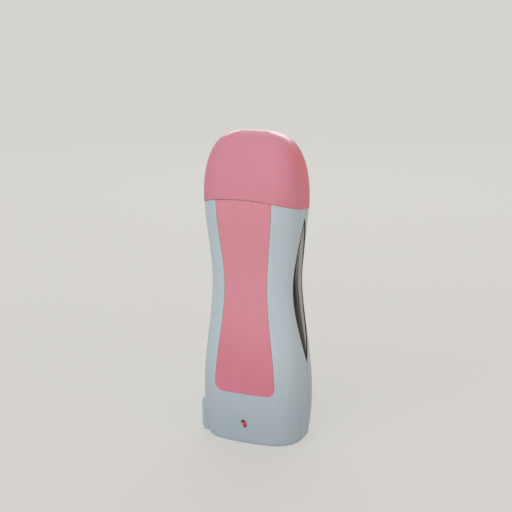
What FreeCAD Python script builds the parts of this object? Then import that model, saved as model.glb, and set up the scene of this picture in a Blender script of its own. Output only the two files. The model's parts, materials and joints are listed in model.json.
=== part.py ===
"""Roll-on wax heater: a hand-held warmer for a standard 100 ml roll-on wax cartridge.

Frame: origin at the centre of the base, +Z up, the grip panel faces -Y, millimetres.
The housing is two half shells that meet on a plane just behind its middle.  A cartridge
stands in the bay above the base compartment, its roller head under a domed cap that slides
over a neck.
"""
import FreeCAD
import Part
import Sketcher
import math
import os
import re

Vector = FreeCAD.Vector
Constraint = Sketcher.Constraint

doc = FreeCAD.newDocument("RollOnWaxHeater")

# ------------------------------------------------------------------ driving dimensions

SIZES = [
    # cartridge
    ("tankwide", 49), ("tankdeep", 27), ("tankcorner", 9), ("tankheight", 96),
    ("tankwall", 1.4), ("tankround", 2.5), ("tankshift", 1.5), ("waxlevel", 84),
    ("headinset", 1.0), ("headheight", 30), ("headlip", 3.0), ("headround", 2.0),
    ("plugdepth", 6), ("plugwall", 1.4), ("throatmargin", 3.5), ("throatdeep", 9),
    ("rollerradius", 10), ("rollerbore", 2.0), ("rollergap", 0.4), ("rollerround", 1.2),
    ("earradius", 5.5), ("earthick", 2.8), ("earmargin", 0.3), ("axlefit", 0.05),
    # bay that the cartridge stands in
    ("bayfloor", 50.2), ("standgap", 0.3), ("tankair", 1.55), ("bayair", 4.1), ("wall", 2.2),
    # outer form: where its sections stand against the cartridge
    ("hipdrop", 22.2), ("thighrise", 13.8), ("waistrise", 5.5), ("chestdrop", 8.5),
    ("shoulderrise", 13.5),
    # outer form: how far its sections flare beyond the waist, sideways and in depth
    ("baseflare", 3.75), ("hipflare", 6.35), ("thighflare", 3.85), ("chestflare", 2.75),
    ("shoulderflare", 4.1),
    ("baseswell", 2.6), ("hipswell", 4.4), ("thighswell", 2.7), ("chestswell", 1.9),
    ("shoulderswell", 2.85),
    # roundness of every section: corner and side radii over its half depth, and front
    # radius times half depth over its half width squared
    ("cornerratio", 0.76), ("frontbowratio", 2.4), ("sidebowratio", 9.0),
    ("baseround", 1.6),
    # domed cap
    ("domeheight", 40), ("domewall", 2.0), ("skirtwall", 2.4), ("capproud", 0.4),
    ("seamdrop", 3.7), ("seamradius", 150), ("seamtilt", 10), ("seamgap", 0.25),
    ("capfit", 0.35), ("ceilingair", 0.8),
    # half shells
    ("floorthick", 2.4), ("parting", 1.4), ("partinggroove", 0.3), ("groovedepth", 0.4),
    # grip panel
    ("panelmargin", 14.0), ("panelbottom", 34.8), ("panelcorner", 5.0),
    ("paneldepth", 1.0), ("panelgap", 0.18),
    # side windows and their seals
    ("windowrise", 0.8), ("windowover", 0.5), ("windowwide", 9.6),
    ("windowrecess", 0.5), ("lipdepth", 1.3), ("lipwidth", 1.6), ("windowgap", 0.1),
    ("sealwide", 0.8), ("sealrecess", 0.1),
    # neck collar
    ("collardrop", 14), ("collarrise", 7.5), ("collarwall", 1.6),
    ("collarflange", 0.7), ("flangethick", 1.6), ("collarround", 0.6),
    # cradle
    ("cradlethick", 2.5), ("cradlering", 10), ("ringwall", 1.5),
    ("baygap", 0.4), ("ledgethick", 2.0), ("ledgewide", 1.6),
    ("seatgap", 0.05), ("ribair", 1.1), ("ribthick", 1.6),
    # heater
    ("platethick", 0.7), ("plateheight", 84), ("wingdeep", 9), ("wingrise", 38),
    ("footdeep", 1), ("footrise", 8),
    ("heaterwide", 24), ("heaterthick", 3.4), ("heaterheight", 21), ("heaterlift", 13),
    ("heatercorner", 1.0), ("clipwide", 29), ("clipthick", 0.6), ("clipheight", 9),
    ("fuseradius", 1.8), ("fuselength", 12),
    # indicator lamp and its board
    ("lampheight", 14.3), ("lensshort", 1.7), ("lenslong", 2.7), ("lenstilt", 28),
    ("lensproud", 0.35), ("lensflange", 4.0), ("seatflange", 1.2),
    ("boardwide", 40), ("boardtall", 26), ("boardthick", 1.6), ("boardcorner", 1.5),
    ("boardback", 15.2), ("boardlow", 5), ("postradius", 2.6), ("postinset", 4),
    ("studradius", 0.9), ("studhead", 1.9), ("studthick", 1.2), ("studbite", 2.2),
    ("studpilot", 2.6),
    ("ledradius", 1.5), ("ledround", 1.35), ("ledrim", 1.9), ("ledlength", 2.8),
    ("ledrimthick", 0.8),
    # rocker switch on the left side
    ("switchheight", 11.4), ("switchback", 3.5), ("switchsink", 0.3),
    ("bezeltall", 20.6), ("bezelwide", 15), ("bezelproud", 1.9), ("bezelround", 2.4),
    ("bezeledge", 0.9),
    ("switchtall", 18.6), ("switchwide", 12.8), ("switchdepth", 12), ("switchround", 0.4),
    ("bossmargin", 0.6),
    ("rockertall", 15.4), ("rockerwide", 9.6), ("rockergap", 0.35), ("rockertilt", 8),
    ("rockerstand", 2.4), ("rockerroot", 3.2), ("pivotinset", 1.2), ("pivotradius", 1.2),
    ("pivotfit", 0.06),
    ("pivotreach", 1.0), ("tabwide", 4.8), ("tabthick", 0.8), ("tablength", 7),
    ("tabspacing", 7),
    # power inlet at the back
    ("inletheight", 13), ("inletwide", 15.6), ("inlettall", 8.2), ("inletback", 10.5),
    ("inletwall", 1.2), ("inletflange", 3.0),
    ("pinradius", 1.2), ("pinspacing", 8.6), ("pinlength", 8.6), ("pintip", 0.6),
    ("tailradius", 0.8), ("taillength", 4),
    # housing screws
    ("screwdrop", 9.2), ("screwinset", 11.6), ("screwradius", 1.5), ("screwhead", 2.9),
    ("bossradius", 3.3), ("screwbite", 9), ("screwseat", 14), ("headthick", 2.0),
    ("screwfit", 0.2), ("crosswide", 0.9), ("crosslong", 4.0), ("crossdepth", 1.1),
    # how far helper blocks reach beyond the part, and the least size of a sketch line
    ("reach", 60), ("overhead", 240), ("hair", 0.01),
]

sheet = doc.addObject("Spreadsheet::Sheet", "Sizes")
for row, (alias, size) in enumerate(SIZES, start=1):
    sheet.set("A%d" % row, alias)
    sheet.set("B%d" % row, str(size))
    sheet.setAlias("B%d" % row, alias)
doc.recompute()

SIZE_NAMES = {alias for alias, size in SIZES}


def linked(text):
    """The expression with every size name pointing at the sheet."""
    return re.sub(r"[a-z]+", lambda word: "Sizes." + word[0] if word[0] in SIZE_NAMES
                  else word[0], text)


def amount(text):
    """The number that an expression on the sizes gives now."""
    return float(sheet.evalExpression(linked(text)))


def bind(item, settings):
    """Tie properties of a document object to expressions on the sizes."""
    for name, text in settings.items():
        item.setExpression(name, linked(text))
    return item


# ------------------------------------------------------------------ sketches

def new_body(label):
    body = doc.addObject("PartDesign::Body", label)
    body.Label = label
    return body


def new_sketch(body, role, at=("0", "0", "0"), turn=None):
    """A sketch on one of the body's origin planes, moved by `at` in the plane's own axes."""
    sketch = body.newObject("Sketcher::SketchObject", "Sketch")
    support = next(item for item in body.Origin.OriginFeatures if item.Role == role)
    sketch.AttachmentSupport = [(support, "")]
    sketch.MapMode = "FlatFace"
    angle = amount(turn) if turn else 0
    sketch.AttachmentOffset = FreeCAD.Placement(
        Vector(*[amount(text) for text in at]), FreeCAD.Rotation(Vector(0, 0, 1), angle))
    for axis, text in zip("xyz", at):
        bind(sketch, {"AttachmentOffset.Base." + axis: text})
    if turn:
        bind(sketch, {"AttachmentOffset.Rotation.Angle": turn})
    return sketch


def hold(sketch, name, text, kind, *where):
    """Add one named dimension that follows an expression."""
    index = sketch.addConstraint(Constraint(kind, *where, amount(text)))
    sketch.renameConstraint(index, name)
    sketch.setExpression("Constraints." + name, linked(text))


def arc(centre, radius, start, end):
    circle = Part.Circle(Vector(centre[0], centre[1], 0), Vector(0, 0, 1), radius)
    return Part.ArcOfCircle(circle, start, end)


def oval(body, height, wide, deep, inset="0"):
    """The housing's section: eight tangent arcs, bowed front, back and sides, round corners.

    `wide` and `deep` are its half width and half depth before the inset.
    """
    sketch = new_sketch(body, "XY_Plane", ("0", "0", height))
    front = "frontbowratio * (%s) ^ 2 / (%s) - (%s)" % (wide, deep, inset)
    side = "sidebowratio * (%s) - (%s)" % (deep, inset)
    corner = "cornerratio * (%s) - (%s)" % (deep, inset)
    front_centre = "(%s) - (%s) + (%s)" % (front, deep, inset)
    side_centre = "(%s) - (%s) + (%s)" % (side, wide, inset)
    front_radius, side_radius, corner_radius = amount(front), amount(side), amount(corner)
    bow_y, bow_x = amount(front_centre), -amount(side_centre)
    reach, across = front_radius - corner_radius, side_radius - corner_radius
    gap = math.hypot(bow_x, bow_y)
    along = (reach ** 2 - across ** 2 + gap ** 2) / (2 * gap)
    off = math.sqrt(reach ** 2 - along ** 2)
    corner_x = (along * bow_x - off * -bow_y) / gap
    corner_y = bow_y - (along * bow_y + off * -bow_x) / gap
    front_end = math.atan2(corner_y - bow_y, corner_x)
    side_end = math.atan2(corner_y, corner_x - bow_x)
    sketch.addGeometry([
        arc((0, bow_y), front_radius, -math.pi - front_end, front_end),
        arc((corner_x, corner_y), corner_radius, front_end, side_end),
        arc((bow_x, 0), side_radius, side_end, -side_end),
        arc((corner_x, -corner_y), corner_radius, -side_end, -front_end),
        arc((0, -bow_y), front_radius, -front_end, math.pi + front_end),
        arc((-corner_x, -corner_y), corner_radius, math.pi + front_end, math.pi + side_end),
        arc((-bow_x, 0), side_radius, math.pi + side_end, math.pi - side_end),
        arc((-corner_x, corner_y), corner_radius, math.pi - side_end, math.pi - front_end),
    ], False)
    for index in range(8):
        sketch.addConstraint(Constraint("Tangent", index, 2, (index + 1) % 8, 1))
    sketch.addConstraint([
        Constraint("PointOnObject", 0, 3, -2), Constraint("PointOnObject", 2, 3, -1),
        Constraint("Equal", 0, 4), Constraint("Equal", 2, 6), Constraint("Equal", 1, 3),
        Constraint("Equal", 3, 5), Constraint("Equal", 5, 7),
        Constraint("Symmetric", 0, 3, 4, 3, -1, 1), Constraint("Symmetric", 2, 3, 6, 3, -1, 1),
    ])
    hold(sketch, "front_bow", front, "Radius", 0)
    hold(sketch, "side_bow", side, "Radius", 2)
    hold(sketch, "corner", corner, "Radius", 1)
    hold(sketch, "depth", front_centre, "DistanceY", -1, 1, 0, 3)
    hold(sketch, "width", side_centre, "DistanceX", -1, 1, 6, 3)
    return sketch


def rounded_rectangle(body, role, wide, tall, radius, at=("0", "0", "0")):
    """A rectangle with round corners, centred on `at`."""
    sketch = new_sketch(body, role, at)
    x, y, r = amount(wide) / 2, amount(tall) / 2, amount(radius)
    quarter = math.pi / 2
    corners = [(x - r, y - r), (r - x, y - r), (r - x, r - y), (x - r, r - y)]
    for index, centre in enumerate(corners):
        sketch.addGeometry(arc(centre, r, index * quarter, (index + 1) * quarter))
    ends = [((x - r, y), (r - x, y)), ((-x, y - r), (-x, r - y)),
            ((r - x, -y), (x - r, -y)), ((x, r - y), (x, y - r))]
    for start, end in ends:
        sketch.addGeometry(Part.LineSegment(Vector(*start, 0), Vector(*end, 0)))
    for index in range(4):
        sketch.addConstraint([
            Constraint("Tangent", index, 2, index + 4, 1),
            Constraint("Tangent", index + 4, 2, (index + 1) % 4, 1),
        ])
    sketch.addConstraint([
        Constraint("Horizontal", 4), Constraint("Vertical", 5),
        Constraint("Equal", 0, 1), Constraint("Equal", 1, 2), Constraint("Equal", 2, 3),
        Constraint("Symmetric", 0, 3, 2, 3, -1, 1),
    ])
    hold(sketch, "corner", radius, "Radius", 0)
    hold(sketch, "half_wide", "(%s) / 2 - (%s)" % (wide, radius), "DistanceX", -1, 1, 0, 3)
    hold(sketch, "half_tall", "(%s) / 2 - (%s)" % (tall, radius), "DistanceY", -1, 1, 0, 3)
    return sketch


def outline(body, role, points, at=("0", "0", "0")):
    """A closed run of straight lines through points given as pairs of expressions."""
    sketch = new_sketch(body, role, at)
    places = [Vector(amount(x), amount(y), 0) for x, y in points]
    count = len(points)
    for index in range(count):
        sketch.addGeometry(Part.LineSegment(places[index], places[(index + 1) % count]))
    for index in range(count):
        sketch.addConstraint(Constraint("Coincident", index, 2, (index + 1) % count, 1))
    for index, (x, y) in enumerate(points):
        hold(sketch, "x%d" % index, x, "DistanceX", -1, 1, index, 1)
        hold(sketch, "y%d" % index, y, "DistanceY", -1, 1, index, 1)
    return sketch


def disc(body, role, radius, at=("0", "0", "0")):
    """A circle centred on `at`."""
    sketch = new_sketch(body, role, at)
    sketch.addGeometry(Part.Circle(Vector(0, 0, 0), Vector(0, 0, 1), amount(radius)))
    sketch.addConstraint(Constraint("Coincident", 0, 3, -1, 1))
    hold(sketch, "radius", radius, "Radius", 0)
    return sketch


def almond(body, grown):
    """The window's outline on the side of the housing: two arcs meeting in points.

    `grown` moves the outline out from the glazed opening by that much.
    """
    sketch = new_sketch(body, "YZ_Plane", ("parting", WINDOW_HEIGHT, "0"))
    bow = "(%s ^ 2 + windowwide ^ 2) / (2 * windowwide)" % WINDOW_HALF
    radius = "%s + (%s)" % (bow, grown)
    centre = "%s - windowwide" % bow
    size, away = amount(radius), amount(centre)
    half_turn = math.acos(away / size)
    sketch.addGeometry(arc((-away, 0), size, -half_turn, half_turn))
    sketch.addGeometry(arc((away, 0), size, math.pi - half_turn, math.pi + half_turn))
    sketch.addConstraint([
        Constraint("Coincident", 0, 2, 1, 1), Constraint("Coincident", 0, 1, 1, 2),
        Constraint("Equal", 0, 1), Constraint("PointOnObject", 1, 3, -1),
        Constraint("Symmetric", 0, 3, 1, 3, -1, 1),
    ])
    hold(sketch, "radius", radius, "Radius", 0)
    hold(sketch, "centre", centre, "DistanceX", -1, 1, 1, 3)
    return sketch


def ellipse(body, grown, at, turn):
    """The lamp lens's outline, tilted, grown on every side."""
    sketch = new_sketch(body, "XZ_Plane", at, turn)
    tall, wide = "lenslong + (%s)" % grown, "lensshort + (%s)" % grown
    sketch.addGeometry(Part.Ellipse(Vector(0, amount(tall), 0), Vector(amount(wide), 0, 0),
                                    Vector(0, 0, 0)))
    sketch.exposeInternalGeometry(0)
    sketch.addConstraint([Constraint("Coincident", 0, 3, -1, 1),
                          Constraint("PointOnObject", 1, 1, -2)])
    hold(sketch, "tall", "2 * (%s)" % tall, "Distance", 1, 1, 1, 2)
    hold(sketch, "wide", "2 * (%s)" % wide, "Distance", 2, 1, 2, 2)
    return sketch


# ------------------------------------------------------------------ features

def pad(body, sketch, length, both=False, back=False):
    feature = body.newObject("PartDesign::Pad", "Pad")
    feature.Profile = sketch
    feature.Reversed = back
    feature.SideType = "Symmetric" if both else "One side"
    return bind(feature, {"Length": length})


def pocket(body, sketch, length, both=False, back=False):
    feature = body.newObject("PartDesign::Pocket", "Pocket")
    feature.Profile = sketch
    feature.Reversed = back
    feature.SideType = "Symmetric" if both else "One side"
    return bind(feature, {"Length": length})


def loft(body, sketches):
    """A smooth loft through sketches listed from the bottom up, made from the top down."""
    feature = body.newObject("PartDesign::AdditiveLoft", "Loft")
    feature.Profile = sketches[-1]
    feature.Sections = sketches[-2::-1]
    return feature


def revolve(body, sketch, axis):
    feature = body.newObject("PartDesign::Revolution", "Revolution")
    feature.Profile = sketch
    feature.ReferenceAxis = (sketch, [axis])
    feature.Angle = 360
    return feature


def round_edges(body, radius, wanted):
    """Fillet the edges of the body's last feature that `wanted` picks by their midpoint box."""
    doc.recompute()
    base = body.Tip
    names = ["Edge%d" % (index + 1) for index, edge in enumerate(base.Shape.Edges)
             if wanted(edge)]
    feature = body.newObject("PartDesign::Fillet", "Fillet")
    feature.Base = (base, names)
    return bind(feature, {"Radius": radius})


def box(name, low, high):
    """A block between two corners, each a triple of expressions."""
    item = doc.addObject("Part::Box", name)
    for axis, length, start, end in zip("xyz", ("Length", "Width", "Height"), low, high):
        bind(item, {"Placement.Base." + axis: start, length: "(%s) - (%s)" % (end, start)})
    return item


def rod(name, axis, radius, start, end, at):
    """A cylinder along X or Y from `start` to `end`; `at` is its place in the other two."""
    item = doc.addObject("Part::Cylinder", name)
    turn = {"x": FreeCAD.Rotation(Vector(0, 1, 0), 90), "y": FreeCAD.Rotation(Vector(1, 0, 0), -90)}
    item.Placement = FreeCAD.Placement(Vector(0, 0, 0), turn[axis])
    others = [letter for letter in "xyz" if letter != axis]
    bind(item, {"Radius": radius, "Height": "(%s) - (%s)" % (end, start),
                "Placement.Base." + axis: start, "Placement.Base." + others[0]: at[0],
                "Placement.Base." + others[1]: at[1]})
    return item


def cut(name, base, *tools):
    for tool in tools:
        item = doc.addObject("Part::Cut", name)
        item.Base, item.Tool = base, tool
        base = item
    return base


def common(name, first, second):
    item = doc.addObject("Part::Common", name)
    item.Base, item.Tool = first, second
    return item


def fuse(name, *items):
    item = doc.addObject("Part::MultiFuse", name)
    item.Shapes = list(items)
    return item


PARTS = []


def keep(item, label):
    """Name a finished sub-part and list it for export."""
    item.Label = label
    PARTS.append(item)
    return item


# ------------------------------------------------------------------ outer form

# the cartridge's place, which the form is drawn around
TANK_LOW = "(bayfloor + standgap)"
TANK_TOP = "(bayfloor + standgap + tankheight)"
TANK_MIDDLE = "(bayfloor + standgap + tankheight / 2)"

WAIST_WIDE = "(tankwide / 2 + tankair + wall)"
WAIST_DEEP = "(tankdeep / 2 + bayair + wall)"
HIP_WIDE = "(%s + hipflare)" % WAIST_WIDE
CHEST_HEIGHT = "(%s - chestdrop)" % TANK_TOP
SHOULDER_HEIGHT = "(%s + shoulderrise)" % TANK_TOP
SHOULDER_WIDE = "(%s + shoulderflare)" % WAIST_WIDE
SHOULDER_DEEP = "(%s + shoulderswell)" % WAIST_DEEP
SHOULDER = (SHOULDER_WIDE, SHOULDER_DEEP)
WINDOW_HEIGHT = "(%s + windowrise)" % TANK_MIDDLE
WINDOW_HALF = "(tankheight / 2 + windowover)"
COLLAR_BOTTOM = "(%s - collardrop)" % SHOULDER_HEIGHT
COLLAR_TOP = "(%s + collarrise)" % SHOULDER_HEIGHT

# height, half width and half depth of each section, from the base up
STATIONS = [
    ("0", WAIST_WIDE + " + baseflare", WAIST_DEEP + " + baseswell"),
    ("bayfloor - hipdrop", HIP_WIDE, WAIST_DEEP + " + hipswell"),
    ("bayfloor + thighrise", WAIST_WIDE + " + thighflare", WAIST_DEEP + " + thighswell"),
    (TANK_MIDDLE + " + waistrise", WAIST_WIDE, WAIST_DEEP),
    (CHEST_HEIGHT, WAIST_WIDE + " + chestflare", WAIST_DEEP + " + chestswell"),
    (SHOULDER_HEIGHT,) + SHOULDER,
]
CHEST = 4
# the dome's own stations: share of its height, then of the shoulder's half width and half depth
DOME = [(0.25, 0.987, 0.944), (0.5, 0.935, 0.819), (0.7, 0.845, 0.659), (0.83, 0.739, 0.508),
        (0.92, 0.605, 0.353), (0.97, 0.461, 0.218), (1.0, 0.29, 0.11)]
FAR = "reach"
ABOVE = "overhead"


def form(name, inset, first=0, dome=1, drop="0"):
    """The outer form set in by `inset`, lofted through its stations and part of the dome."""
    body = new_body(name)
    sections = [oval(body, *station, inset) for station in STATIONS[first:]]
    for rise, wide, deep in DOME[:dome]:
        sections.append(oval(body, "%s + %s * (domeheight - (%s))" % (SHOULDER_HEIGHT, rise, drop),
                             "%s * %s" % (wide, SHOULDER_WIDE),
                             "%s * %s" % (deep, SHOULDER_DEEP), inset))
    loft(body, sections)
    return body


def on_base(edge):
    return edge.BoundBox.ZMax < amount("hair")


outer_form = form("OuterForm", "0")
round_edges(outer_form, "baseround", on_base)
inner_form = form("InnerForm", "wall")
middle_form = form("MiddleForm", "lipdepth")
seat_form = form("SeatForm", "wall + seatgap")
flange_form = form("FlangeForm", "wall + seatflange")


def seam_drum(name, gap):
    """The drum whose top is the seam between housing and cap: arched, and lower at the back."""
    drum = doc.addObject("Part::Cylinder", name)
    tilt = FreeCAD.Rotation(Vector(1, 0, 0), -90 - amount("seamtilt"))
    drum.Placement = FreeCAD.Placement(Vector(0, 0, 0), tilt)
    top = SHOULDER_HEIGHT + " - seamdrop"
    return bind(drum, {
        "Radius": "seamradius + " + gap, "Height": "2 * " + FAR,
        "Placement.Base.y": "-seamradius * sin(seamtilt) - %s * cos(seamtilt)" % FAR,
        "Placement.Base.z": "%s - seamradius * cos(seamtilt) + %s * sin(seamtilt)" % (top, FAR)})


def neck_prism(name, inset, low, high):
    """A straight prism of the shoulder section, for the neck and all that fits it."""
    body = new_body(name)
    pad(body, oval(body, low, *SHOULDER, inset), "(%s) - (%s)" % (high, low))
    return body


def panel_prism(name, gap):
    """The grip panel's outline, as the housing's own flank moved in by the panel's margin."""
    body = new_body(name)
    sections = []
    rise, share = DOME[0][:2]
    levels = [station[:2] for station in STATIONS]
    levels.append(("%s + %s * domeheight" % (SHOULDER_HEIGHT, rise),
                   "%s * %s" % (share, SHOULDER_WIDE)))
    for height, half in levels:
        edge = "(%s) - panelmargin + %s" % (half, gap)
        sections.append(outline(body, "XY_Plane", [
            ("-(%s)" % edge, "-" + FAR), (edge, "-" + FAR), (edge, "0"), ("-(%s)" % edge, "0")],
            ("0", "0", height)))
    loft(body, sections)
    lower = outline(body, "XY_Plane", [("-" + FAR, "-" + FAR), (FAR, "-" + FAR), (FAR, FAR),
                                       ("-" + FAR, FAR)], ("0", "0", "panelbottom - " + gap))
    pocket(body, lower, FAR)
    round_edges(body, "panelcorner + " + gap, lambda edge: 2 * edge.BoundBox.YLength > amount(FAR)
                and edge.BoundBox.ZMax < amount("panelbottom + hair"))
    return body


def window_prism(name, grown):
    """The window's outline through the whole housing."""
    body = new_body(name)
    pad(body, almond(body, grown), "2 * " + FAR, both=True)
    return body


# ------------------------------------------------------------------ half shells

CRADLE_LOW = "(bayfloor - cradlethick)"
TANK_FRONT = "-(tankdeep / 2 + tankshift)"
TANK_BACK = "(tankdeep / 2 - tankshift)"
PLATE_BACK = "(%s + baygap + platethick)" % TANK_BACK
PLATE_LOW = "(bayfloor + cradlering + seatgap)"
BOARD_FRONT = "-(boardback + boardthick)"
RIB_SPREAD = "(clipwide / 2 + ribair + ribthick / 2)"
SCREW_SPREAD = "(%s - screwinset)" % HIP_WIDE
SCREW_HEIGHT = "(%s - screwdrop)" % CRADLE_LOW
SWITCH_SEAT = "(%s - switchsink)" % HIP_WIDE
SIDES = {"left": "-", "right": ""}
POSTS = [("%s(boardwide / 2 - postinset)" % sign, level) for sign in SIDES.values()
         for level in ("boardlow + postinset", "boardlow + boardtall - postinset")]


def shell_inside():
    """Everything moulded on the inside of the shells: ledge, ribs, bosses and posts."""
    ledge = cut("Ledge", box("LedgeSlab", ("-" + FAR, "-" + FAR, CRADLE_LOW + " - ledgethick"),
                             (FAR, FAR, CRADLE_LOW)),
                form("LedgeForm", "wall + ledgewide"))
    items = [ledge]
    for sign in SIDES.values():
        at = sign + RIB_SPREAD
        left, right = at + " - ribthick / 2", at + " + ribthick / 2"
        items.append(box("FrontRib", (left, "-" + FAR, "bayfloor"),
                         (right, TANK_FRONT + " - baygap", CHEST_HEIGHT)))
        items.append(box("BackRib", (left, PLATE_BACK + " + seatgap", "bayfloor"),
                         (right, FAR, CHEST_HEIGHT)))
        items.append(rod("ScrewBoss", "y", "bossradius", "-" + FAR, FAR,
                         (sign + SCREW_SPREAD, SCREW_HEIGHT)))
    for at in POSTS:
        items.append(rod("BoardPost", "y", "postradius", "-" + FAR, BOARD_FRONT, at))
    return common("ShellInside", fuse("InsideWorks", *items), middle_form)


def switch_boss():
    """The flat seat that the switch bezel stands on, at the foot of the left side."""
    half_wide, half_tall = "(bezelwide / 2 + bossmargin)", "(bezeltall / 2 + bossmargin)"
    return box("SwitchBoss", ("-" + SWITCH_SEAT, "-switchback - " + half_wide,
                              "switchheight - " + half_tall),
               ("2 * wall - " + SWITCH_SEAT, "-switchback + " + half_wide,
                "switchheight + " + half_tall))


def switch_block(name, wide, tall, depth):
    """What is cut for a part of the switch, from outside to `depth` behind its seat."""
    half_wide, half_tall = "(%s / 2 + seatgap)" % wide, "(%s / 2 + seatgap)" % tall
    return box(name, ("-" + FAR, "-switchback - " + half_wide, "switchheight - " + half_tall),
               (depth + " - " + SWITCH_SEAT, "-switchback + " + half_wide,
                "switchheight + " + half_tall))


def stadium(name, grown, start, end):
    """The inlet's outline grown by that much, as a prism along Y."""
    body = new_body(name)
    tall = "inlettall + 2 * (%s)" % grown
    sketch = rounded_rectangle(body, "XZ_Plane", "inletwide + 2 * (%s)" % grown, tall,
                               "(%s) / 2 - hair" % tall, ("0", "inletheight", "-(%s)" % start))
    pad(body, sketch, "(%s) - (%s)" % (end, start), back=True)
    return body


def lens_prism(name, grown):
    body = new_body(name)
    pad(body, ellipse(body, grown, ("0", "lampheight", "0"), "lenstilt"), FAR)
    return body


def shell_openings():
    """Everything cut out of the closed shell before it is split."""
    tools = [
        cut("PanelPocket", panel_prism("PanelPocketPrism", "panelgap"), panel_form),
        window_prism("WindowHole", "0"),
        common("WindowRecess", window_prism("WindowLip", "lipwidth"), middle_form),
        collar_seat,
        switch_block("BezelRecess", "bezelwide", "bezeltall", "0"),
        switch_block("SwitchHole", "switchwide", "switchtall", "switchdepth"),
        lens_prism("LensHole", "seatgap"),
        stadium("InletHole", "inletwall + seatgap", "0", FAR),
        cut("PartingGroove", box("GrooveSlab", ("-" + FAR, "parting - partinggroove / 2", "-wall"),
                                 (FAR, "parting + partinggroove / 2", ABOVE)),
            form("GrooveForm", "groovedepth")),
    ]
    for sign in SIDES.values():
        at = (sign + SCREW_SPREAD, SCREW_HEIGHT)
        tools.append(rod("PilotHole", "y", "screwradius", "-screwbite - screwradius", "parting", at))
        tools.append(rod("ThroughHole", "y", "screwradius + screwfit", "parting", "screwseat", at))
        tools.append(rod("HeadHole", "y", "screwhead + screwfit", "screwseat", FAR, at))
    for at in POSTS:
        tools.append(rod("StudPilot", "y", "studradius", BOARD_FRONT + " - studpilot",
                         BOARD_FRONT, at))
    return fuse("ShellOpenings", *tools)


panel_form = form("PanelForm", "paneldepth")
collar_seat = fuse("CollarSeat",
                   neck_prism("CollarHole", "skirtwall + capfit - seatgap", COLLAR_BOTTOM, ABOVE),
                   neck_prism("CollarGroove", "skirtwall + capfit - seatgap - collarflange",
                              COLLAR_BOTTOM, COLLAR_BOTTOM + " + flangethick + seatgap"))
bay_space = common("BaySpace", inner_form, box("AboveFloor", ("-" + FAR, "-" + FAR, "floorthick"),
                                               (FAR, FAR, ABOVE)))
skin = cut("Skin", outer_form, bay_space)
plain_shell = fuse("PlainShell", skin, shell_inside(), switch_boss())
housing_drum = seam_drum("HousingDrum", "0")
shell = common("Shell", cut("OpenedShell", plain_shell, shell_openings()), housing_drum)
for label, start, end in (("front_shell", "-" + FAR, "parting"), ("rear_shell", "parting", FAR)):
    keep(common("HalfShell", shell, box("Half", ("-" + FAR, start, "-wall"), (FAR, end, ABOVE))),
         label)


# ------------------------------------------------------------------ panel, windows, collar

panel_skin = cut("PanelSkin", common("PanelStock", outer_form, panel_prism("PanelPrism", "0")),
                 panel_form)
keep(common("GripPanel", panel_skin, housing_drum), "grip_panel")

lip_form = form("LipForm", "lipdepth + seatgap")
pane = common("PaneFace", window_prism("PanePrism", "-sealwide - windowgap"),
              form("RecessForm", "windowrecess"))
pane_lip = common("PaneLip", window_prism("PaneLipPrism", "lipwidth - windowgap"), lip_form)
panes = cut("Panes", fuse("PaneStock", pane, pane_lip), inner_form, collar_seat)
seal_ring = cut("SealRing", window_prism("SealPrism", "-seatgap"),
                window_prism("SealHole", "-sealwide"))
seals = cut("Seals", common("SealStock", seal_ring, form("SealForm", "sealrecess")), lip_form,
            collar_seat)
for side, start, end in (("left", "-" + FAR, "0"), ("right", "0", FAR)):
    half = box("WindowSide", (start, "-" + FAR, "0"), (end, FAR, ABOVE))
    keep(common("Window", panes, half), "window_" + side)
    keep(common("WindowSeal", seals, half), "window_seal_" + side)


def make_collar():
    """The neck that closes the shells' mouth and carries the cap."""
    body = new_body("NeckCollar")
    neck, tall = "skirtwall + capfit", "collardrop + collarrise"
    pad(body, oval(body, COLLAR_BOTTOM, *SHOULDER, neck), tall)
    pad(body, oval(body, COLLAR_BOTTOM, *SHOULDER, neck + " - collarflange + seatgap"),
        "flangethick")
    pocket(body, oval(body, COLLAR_BOTTOM, *SHOULDER, neck + " + collarwall"), tall, back=True)
    round_edges(body, "collarround",
                lambda edge: edge.BoundBox.ZMin > amount(COLLAR_TOP + " - hair"))
    return body


keep(make_collar(), "neck_collar")

# ------------------------------------------------------------------ cap

cap_blank = cut("CapBlank", form("CapForm", "-capproud", first=CHEST, dome=len(DOME)),
                seam_drum("CapDrum", "seamgap"))
cap_roof = common("CapRoof", form("CapInnerForm", "domewall - capproud", first=CHEST,
                                  dome=len(DOME) - 1, drop="domewall"),
                  box("AboveNeck", ("-" + FAR, "-" + FAR, COLLAR_TOP),
                      (FAR, FAR, ABOVE)))
cap_mouth = neck_prism("CapMouth", "skirtwall", CHEST_HEIGHT, COLLAR_TOP + " + ceilingair")
keep(cut("Cap", cap_blank, cap_roof, cap_mouth), "cap")

# ------------------------------------------------------------------ cartridge

CARTRIDGE_Y = "-tankshift"
AXLE_HEIGHT = "(%s + headheight)" % TANK_TOP
ROLLER_LENGTH = "(tankwide - 2 * (headinset + earmargin + earthick + rollergap))"
PLUG = ("tankwide - 2 * (tankwall + seatgap)", "tankdeep - 2 * (tankwall + seatgap)",
        "tankcorner - tankwall")


def make_tank():
    body = new_body("CartridgeTank")
    pad(body, rounded_rectangle(body, "XY_Plane", "tankwide", "tankdeep", "tankcorner",
                                ("0", CARTRIDGE_Y, TANK_LOW)), "tankheight")
    round_edges(body, "tankround",
                lambda edge: edge.BoundBox.ZMax < amount(TANK_LOW + " + hair"))
    inside = rounded_rectangle(body, "XY_Plane", "tankwide - 2 * tankwall",
                               "tankdeep - 2 * tankwall", "tankcorner - tankwall",
                               ("0", CARTRIDGE_Y, TANK_TOP))
    pocket(body, inside, "tankheight - tankwall")
    return body


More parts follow.
